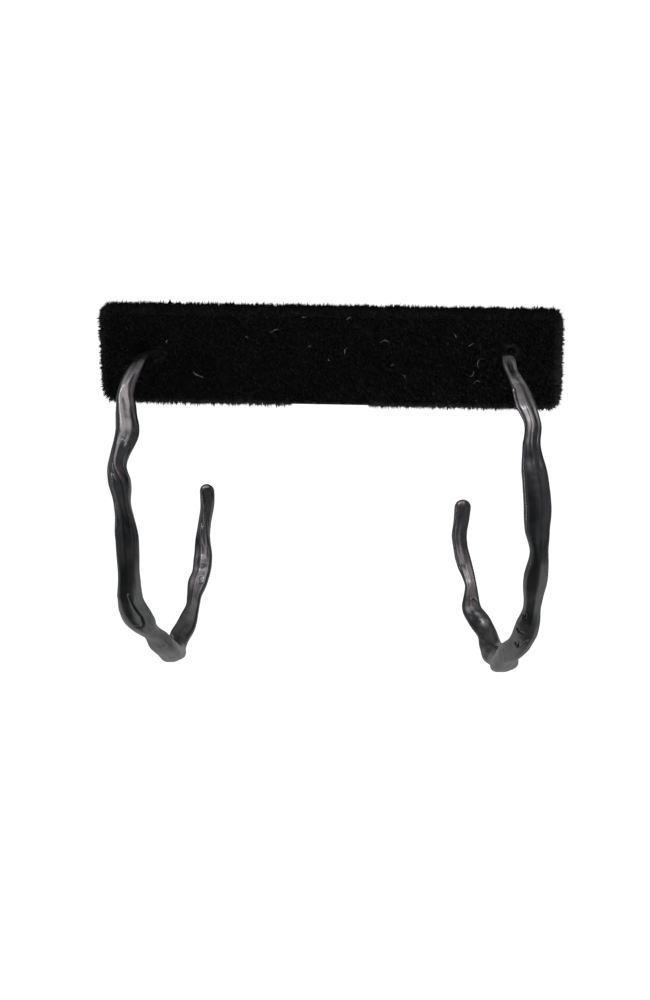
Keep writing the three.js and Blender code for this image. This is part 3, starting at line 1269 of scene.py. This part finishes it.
def section(ridge_height, turn, angles, rounded):
    """A rounded triangle fitted to a square of side two, for each turn of its ridges.

    Shallow flutes run along it and fade out at the bottom of the ring. The ridges are lower
    round one angle.
    """
    around = np.linspace(0, 2 * np.pi, RING_SIDES, endpoint=False)[None, :]
    turn = np.radians(turn)[:, None]
    edges = np.cos(RIDGES * (around - turn))
    sharp_edges = np.cos(2 * RIDGES * (around - turn))
    flutes = sum(high * np.cos(count * around - twist * turn) for count, twist, high in FLUTES)
    shape = edges + SHARPENING * sharp_edges + lowered(angles, SMOOTH_BOTTOM) * flutes
    reach = 1 + ridge_height * lowered(angles, rounded) * shape
    fitted = []
    for values in (reach * np.sin(around), reach * np.cos(around)):
        low, high = values.min(1, keepdims=True), values.max(1, keepdims=True)
        fitted.append(2 * (values - low) / (high - low) - 1)
    return fitted


def hoop_points(hoop, settings):
    """All the surface points of a hoop, ring by ring, in millimetres.

    Gives the points, the middle of each ring and how far the ring has closed.
    """
    angles, closing = hoop_angles(hoop)
    offset, swell, width, depth, turn = (
        smooth_column(hoop["stations"], column, angles)
        for column in (OFFSET, SWELL, WIDTH, DEPTH, TURN)
    )
    across, out = section(settings.ridge, turn, angles, hoop["rounded"])
    across = across * (closing * width / 2)[:, None]
    out = out * (closing * depth / 2)[:, None]
    post_x, post_z = hole(hoop)
    centre_z = post_z - math.sqrt(hoop["radius"] ** 2 - TOP_REACH**2)
    sin, cos = np.sin(np.radians(angles)), np.cos(np.radians(angles))
    reach = (hoop["radius"] + swell)[:, None] + out
    x = post_x + offset[:, None] + across
    y = RING_CENTRE_Y - reach * sin[:, None]
    z = centre_z + reach * cos[:, None]
    middle = reach.mean(1)
    centres = [post_x + offset, RING_CENTRE_Y - middle * sin, centre_z + middle * cos]
    return np.stack([x, y, z], 2), np.stack(centres, 1), closing


def melt(points, centres, closing, depth, seed):
    """Dents and swells the surface softly, as cooling metal does."""
    shift = Vector([seed * step for step in (7.3, 3.1, 5.7)])
    melted = points.copy()
    for r, centre in enumerate(centres):
        for s in range(RING_SIDES):
            p = Vector(points[r, s])
            broad = noise.noise(p / BROAD_DENT + shift)
            small = noise.noise(p / SMALL_DENT + shift * 2)
            push = depth * (broad + SMALL_SHARE * small) * closing[r]
            away = p - Vector(centre)
            if away.length > 1e-6:
                melted[r, s] += np.array(away.normalized() * push)
    return melted


def distance_to_path(places, path):
    """How far each flat place lies from a path of straight pieces."""
    nearest = np.full(places.shape[:2], np.inf)
    for here, there in zip(path, path[1:] or path):
        here, there = np.array(here), np.array(there)
        run = there - here
        t = np.clip(((places - here) @ run) / max(run @ run, 1e-9), 0, 1)
        nearest = np.minimum(nearest, np.linalg.norm(places - here - t[..., None] * run, axis=2))
    return nearest


def half_turn(angle, middle):
    """An angle measured from a middle one, between -180 and 180 degrees."""
    return (angle - middle + 180) % 360 - 180


def marked(hoop, points, centres):
    """Raises folds and sinks cracks and pits along the hoop's marks.

    Gives the new places, and how deep each lies in a crack from 0 to 1.
    """
    radius = hoop["radius"]
    along = np.radians(hoop_angles(hoop)[0]) * radius
    around = np.linspace(0, 360, RING_SIDES, endpoint=False)
    away = points - centres[:, None, :]
    reach = np.linalg.norm(away, axis=2, keepdims=True)
    pushed = np.zeros(points.shape[:2])
    cracked = np.zeros(points.shape[:2])
    for wide, high, path in hoop["marks"]:
        middle = path[len(path) // 2][1]
        reached = [math.radians(a) * radius for a, _ in path]
        rings = (along > min(reached) - MARK_MARGIN) & (along < max(reached) + MARK_MARGIN)
        girth = np.radians(half_turn(around, middle))[None, :] * reach[rings, :, 0]
        places = np.stack([np.broadcast_to(along[rings, None], girth.shape), girth], 2)
        usual = reach[rings].mean()
        flat = [(math.radians(a) * radius, math.radians(half_turn(b, middle)) * usual) for a, b in path]
        near = np.exp(-((distance_to_path(places, flat) / wide) ** 2))
        if len(flat) > 2:
            ends = [np.linalg.norm(places - np.array(end), axis=2) for end in (flat[0], flat[-1])]
            near *= np.clip(np.minimum(*ends) / (FADE_WIDTHS * wide) + FADED_SHARE, 0, 1)
        pushed[rings] += high * near
        if high < CRACK_HEIGHT:
            cracked[rings] = np.maximum(cracked[rings], near)
    return points + away / np.maximum(reach, 1e-6) * pushed[..., None], cracked


def hoop_mesh(hoop, settings):
    """The closed mesh of a hoop with its ridges, dents and marks."""
    points, centres, closing = hoop_points(hoop, settings)
    points = melt(points, centres, closing, settings.melt / MM, hoop["seed"])
    points, cracked = marked(hoop, points, centres)
    rings, sides = len(points), RING_SIDES
    faces = []
    for r in range(rings - 1):
        for s in range(sides):
            n = (s + 1) % sides
            faces.append((r * sides + s, r * sides + n, (r + 1) * sides + n, (r + 1) * sides + s))
    last = (rings - 1) * sides
    first_cap = rings * sides
    for s in range(sides):
        n = (s + 1) % sides
        faces.append((first_cap, n, s))
        faces.append((first_cap + 1, last + s, last + n))
    flat = [*points.reshape(-1, 3), points[0].mean(0), points[-1].mean(0)]
    mesh = mesh_of(hoop["side"] + "_hoop_casting", flat, faces)
    face_outwards(mesh)
    depths = mesh.attributes.new("cracked", "FLOAT", "POINT")
    depths.data.foreach_set("value", [*cracked.reshape(-1), 0.0, 0.0])
    return mesh


class DISPLAY_OT_hoops(bpy.types.Operator):
    """Sculpts the two cast hoops with their ridges and soft dents"""

    bl_idname = "earring_display.hoops"
    bl_label = "Hoops"

    def execute(self, context):
        settings = context.scene.earring_hoops
        material = gunmetal_material(settings)
        for hoop in HOOPS:
            side = hoop["side"]
            piece = new_object(
                side + "_hoop_casting",
                hoop_mesh(hoop, settings),
                side + "_ring",
                material,
            )
            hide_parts(side + "_hoop")
        return {"FINISHED"}


# ---------------------------------------------------------------- posts and clutches


class DISPLAY_OT_findings(bpy.types.Operator):
    """Finishes the ear posts and the butterfly clutches behind the bar"""

    bl_idname = "earring_display.findings"
    bl_label = "Posts and Clutches"

    def execute(self, context):
        along_y, along_z = 1, 2
        dark, pale = linear("#949297"), linear("#a9a8ac")
        wire = plated_metal_material("gunmetal_plated_drawn_wire", dark, 0.28, along_y)
        sheet = plated_metal_material("nickel_plated_stamped_sheet", pale, 0.3, along_z)
        for hoop in HOOPS:
            for kind, material in (("post", wire), ("clutch", sheet)):
                wear(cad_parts[f"{hoop['side']}_{kind}"], material)
        return {"FINISHED"}


class DISPLAY_OT_board(bpy.types.Operator):
    """Finishes the fibreboard inside the bar"""

    bl_idname = "earring_display.board"
    bl_label = "Board"

    def execute(self, context):
        wear(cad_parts["core_board"], fibreboard_material())
        return {"FINISHED"}


# ---------------------------------------------------------------- the studio

# The camera stands a little right of the bar and looks down on it. Its turns are in degrees, its
# lens and sensor in millimetres.
CAMERA_PLACE = Vector((36.8, -432.5, 162.1)) * MM
CAMERA_YAW = -5.04
CAMERA_PITCH = -22.87
CAMERA_ROLL = 0.73
CAMERA_LENS = 85
CAMERA_SENSOR = 36
NEAREST_SEEN = 0.01

FLOOR_REACH = 6.0
LIGHT_TARGET = (0, 0, -0.02)
# Each softbox: its name, place, size, share of the main power and colour.
SOFTBOXES = (
    ("key_softbox", (-0.35, 0.0, 0.85), (0.1, 0.18), 1.0, (1, 0.94, 0.95)),
    ("side_strip", (-0.8, -0.2, 0.15), (0.03, 0.5), 0.6, (0.97, 0.98, 1)),
    ("fill_softbox", (0.3, -0.45, 0.8), (0.06, 0.12), 0.25, (1, 0.98, 0.98)),
)
# The tent's colours, from straight down at 0, past level at 0.5, to straight up at 1.
TENT = (
    (0.0, (0.37, 0.38, 0.375)),
    (0.25, (0.32, 0.33, 0.325)),
    (0.45, (0.13, 0.135, 0.135)),
    (0.7, (0.08, 0.085, 0.095)),
    (0.84, (0.2, 0.19, 0.205)),
    (0.91, (0.62, 0.56, 0.59)),
    (0.97, (1.05, 0.98, 1.0)),
    (1.0, (0.9, 0.84, 0.86)),
)
FLAG_DIRECTION = (-0.2, -0.75, -0.63)


def camera_matrix():
    """Where the camera stands and how it is turned."""
    yaw, pitch, roll = (math.radians(v) for v in (CAMERA_YAW, CAMERA_PITCH, CAMERA_ROLL))
    ahead = Vector(
        (math.sin(yaw) * math.cos(pitch), math.cos(yaw) * math.cos(pitch), math.sin(pitch))
    )
    level = ahead.cross(Vector((0, 0, 1))).normalized()
    upright = level.cross(ahead)
    right = level * math.cos(roll) - upright * math.sin(roll)
    up = level * math.sin(roll) + upright * math.cos(roll)
    turned = Matrix((right, up, -ahead)).transposed().to_4x4()
    return Matrix.Translation(CAMERA_PLACE) @ turned


def softbox(name, place, size, power, colour):
    """A softbox that faces the display and shows only in the metal, not on the velvet."""
    data = bpy.data.lights.new(name, "AREA")
    data.shape = "RECTANGLE"
    data.size, data.size_y = size
    data.energy = power
    data.color = colour
    light = bpy.data.objects.new(name, data)
    light.visible_diffuse = False
    bpy.context.scene.collection.objects.link(light)
    light.location = place
    aim = Vector(LIGHT_TARGET) - Vector(place)
    light.rotation_euler = aim.to_track_quat("-Z", "Y").to_euler()


def studio_world():
    """White to the camera. To everything else it is a tent round the display.

    The tent is grey below, dark level with the display and brightest almost straight overhead. Its
    far side is a darker grey, most so high up, and a dark flag stands low in front. Soft patches
    break up what is above. The ceiling shows in the metal but hardly lights the velvet.
    """
    world = bpy.data.worlds.new("studio")
    world.use_nodes = True
    tree = world.node_tree
    tree.nodes.clear()
    direction = node(tree, "ShaderNodeTexCoord").outputs["Generated"]
    parts = node(tree, "ShaderNodeSeparateXYZ", links={0: direction}).outputs
    spread = node(
        tree, "ShaderNodeMapRange", between(-1.0, 1.0, 0.0, 1.0), {"Value": parts["Z"]}
    )
    walls = node(
        tree, "ShaderNodeValToRGB", {"stops": TENT}, {"Fac": spread.outputs["Result"]}
    )
    ahead = node(
        tree,
        "ShaderNodeVectorMath",
        {"operation": "DOT_PRODUCT", 1: FLAG_DIRECTION},
        {0: direction},
    )
    patches = node(
        tree,
        "ShaderNodeTexNoise",
        {"Scale": 2.2, "Detail": 1.0, "Distortion": 0.6},
        {"Vector": direction},
    )
    # What each of these shares follows, its two bounds and its level at each bound.
    behind, far_wall, flag, uneven, above, ceiling = (
        node(
            tree,
            "ShaderNodeMapRange",
            between(low, high, at_low, at_high, "SMOOTHSTEP"),
            {"Value": value},
        ).outputs["Result"]
        for value, low, high, at_low, at_high in (
            (parts["Y"], -0.1, 0.8, 0.0, 1.0),
            (parts["Z"], -0.35, 0.35, 0.3, 0.12),
            (ahead.outputs["Value"], 0.6, 0.95, 1.0, 0.14),
            (patches.outputs["Fac"], 0.44, 0.56, 0.5, 1.35),
            (parts["Z"], -0.4, 0.1, 0.0, 1.0),
            (parts["Z"], 0.3, 0.75, 0.0, 0.85),
        )
    )
    tent = node(
        tree,
        "ShaderNodeMix",
        {"data_type": "RGBA"},
        {0: behind, 6: walls.outputs["Color"], 7: far_wall},
    )
    broken = node(tree, "ShaderNodeMix", {"data_type": "FLOAT", "A": 1.0}, {0: above, "B": uneven})
    path = node(tree, "ShaderNodeLightPath").outputs
    shaded = node(
        tree, "ShaderNodeMath", {"operation": "MULTIPLY"}, {0: ceiling, 1: path["Is Diffuse Ray"]}
    )
    kept = node(tree, "ShaderNodeMath", {"operation": "SUBTRACT", 0: 1.0}, {1: shaded.outputs[0]})
    strength = flag
    for share in (kept, broken):
        strength = node(
            tree, "ShaderNodeMath", {"operation": "MULTIPLY"}, {0: strength, 1: share.outputs[0]}
        ).outputs[0]
    dim = node(
        tree, "ShaderNodeBackground", links={"Color": tent.outputs[2], "Strength": strength}
    )
    white = node(tree, "ShaderNodeBackground", {"Color": (1, 1, 1, 1), "Strength": 1.0})
    mixed = node(
        tree,
        "ShaderNodeMixShader",
        links={0: path["Is Camera Ray"], 1: dim.outputs[0], 2: white.outputs[0]},
    )
    node(tree, "ShaderNodeOutputWorld", links={"Surface": mixed.outputs[0]})
    bpy.context.scene.world = world


class DISPLAY_OT_studio(bpy.types.Operator):
    """Sets up the floor, the soft lights and the camera"""

    bl_idname = "earring_display.studio"
    bl_label = "Studio"

    def execute(self, context):
        settings = context.scene.earring_studio
        reach, height = FLOOR_REACH, -settings.floor_drop
        corners = [(reach * x, reach * y, height) for x, y in ((-1, -1), (1, -1), (1, 1), (-1, 1))]
        mesh = bpy.data.meshes.new("floor")
        mesh.from_pydata(corners, [], [(0, 1, 2, 3)])
        mesh.materials.append(floor_material(settings))
        floor = bpy.data.objects.new("floor", mesh)
        context.scene.collection.objects.link(floor)
        floor.visible_glossy = False
        for name, place, size, share, colour in SOFTBOXES:
            softbox(name, place, size, settings.key_power * share, colour)
        studio_world()
        data = bpy.data.cameras.new("camera")
        data.lens = CAMERA_LENS
        data.sensor_width = CAMERA_SENSOR
        data.clip_start = NEAREST_SEEN
        camera = bpy.data.objects.new("camera", data)
        context.scene.collection.objects.link(camera)
        camera.matrix_world = camera_matrix()
        context.scene.camera = camera
        context.scene.view_settings.view_transform = "Standard"
        context.scene.view_settings.look = "None"
        return {"FINISHED"}


# ---------------------------------------------------------------- the add-on


class DISPLAY_PT_panel(bpy.types.Panel):
    """Lists the pieces of the display"""

    bl_label = "Earring Display"
    bl_idname = "DISPLAY_PT_panel"
    bl_space_type = "VIEW_3D"
    bl_region_type = "UI"
    bl_category = "Earring Display"

    def draw(self, context):
        layout = self.layout
        for group in ("earring_velvet", "earring_hoops", "earring_studio"):
            settings = getattr(context.scene, group)
            for name in settings.bl_rna.properties.keys():
                if name not in {"rna_type", "name"}:
                    layout.prop(settings, name)
        for operator in OPERATORS:
            layout.operator(operator.bl_idname)


OPERATORS = (
    DISPLAY_OT_velvet,
    DISPLAY_OT_lint,
    DISPLAY_OT_hoops,
    DISPLAY_OT_findings,
    DISPLAY_OT_board,
    DISPLAY_OT_studio,
)
CLASSES = (VelvetSettings, HoopSettings, StudioSettings, *OPERATORS, DISPLAY_PT_panel)


def register():
    for item in CLASSES:
        bpy.utils.register_class(item)
    bpy.types.Scene.earring_velvet = PointerProperty(type=VelvetSettings)
    bpy.types.Scene.earring_hoops = PointerProperty(type=HoopSettings)
    bpy.types.Scene.earring_studio = PointerProperty(type=StudioSettings)


def unregister():
    del bpy.types.Scene.earring_studio
    del bpy.types.Scene.earring_hoops
    del bpy.types.Scene.earring_velvet
    for item in reversed(CLASSES):
        bpy.utils.unregister_class(item)


def main():
    """Builds every piece and the studio, in order."""
    register()
    for operator in OPERATORS:
        group, name = operator.bl_idname.split(".")
        getattr(getattr(bpy.ops, group), name)()


if __name__ == "__main__":
    main()
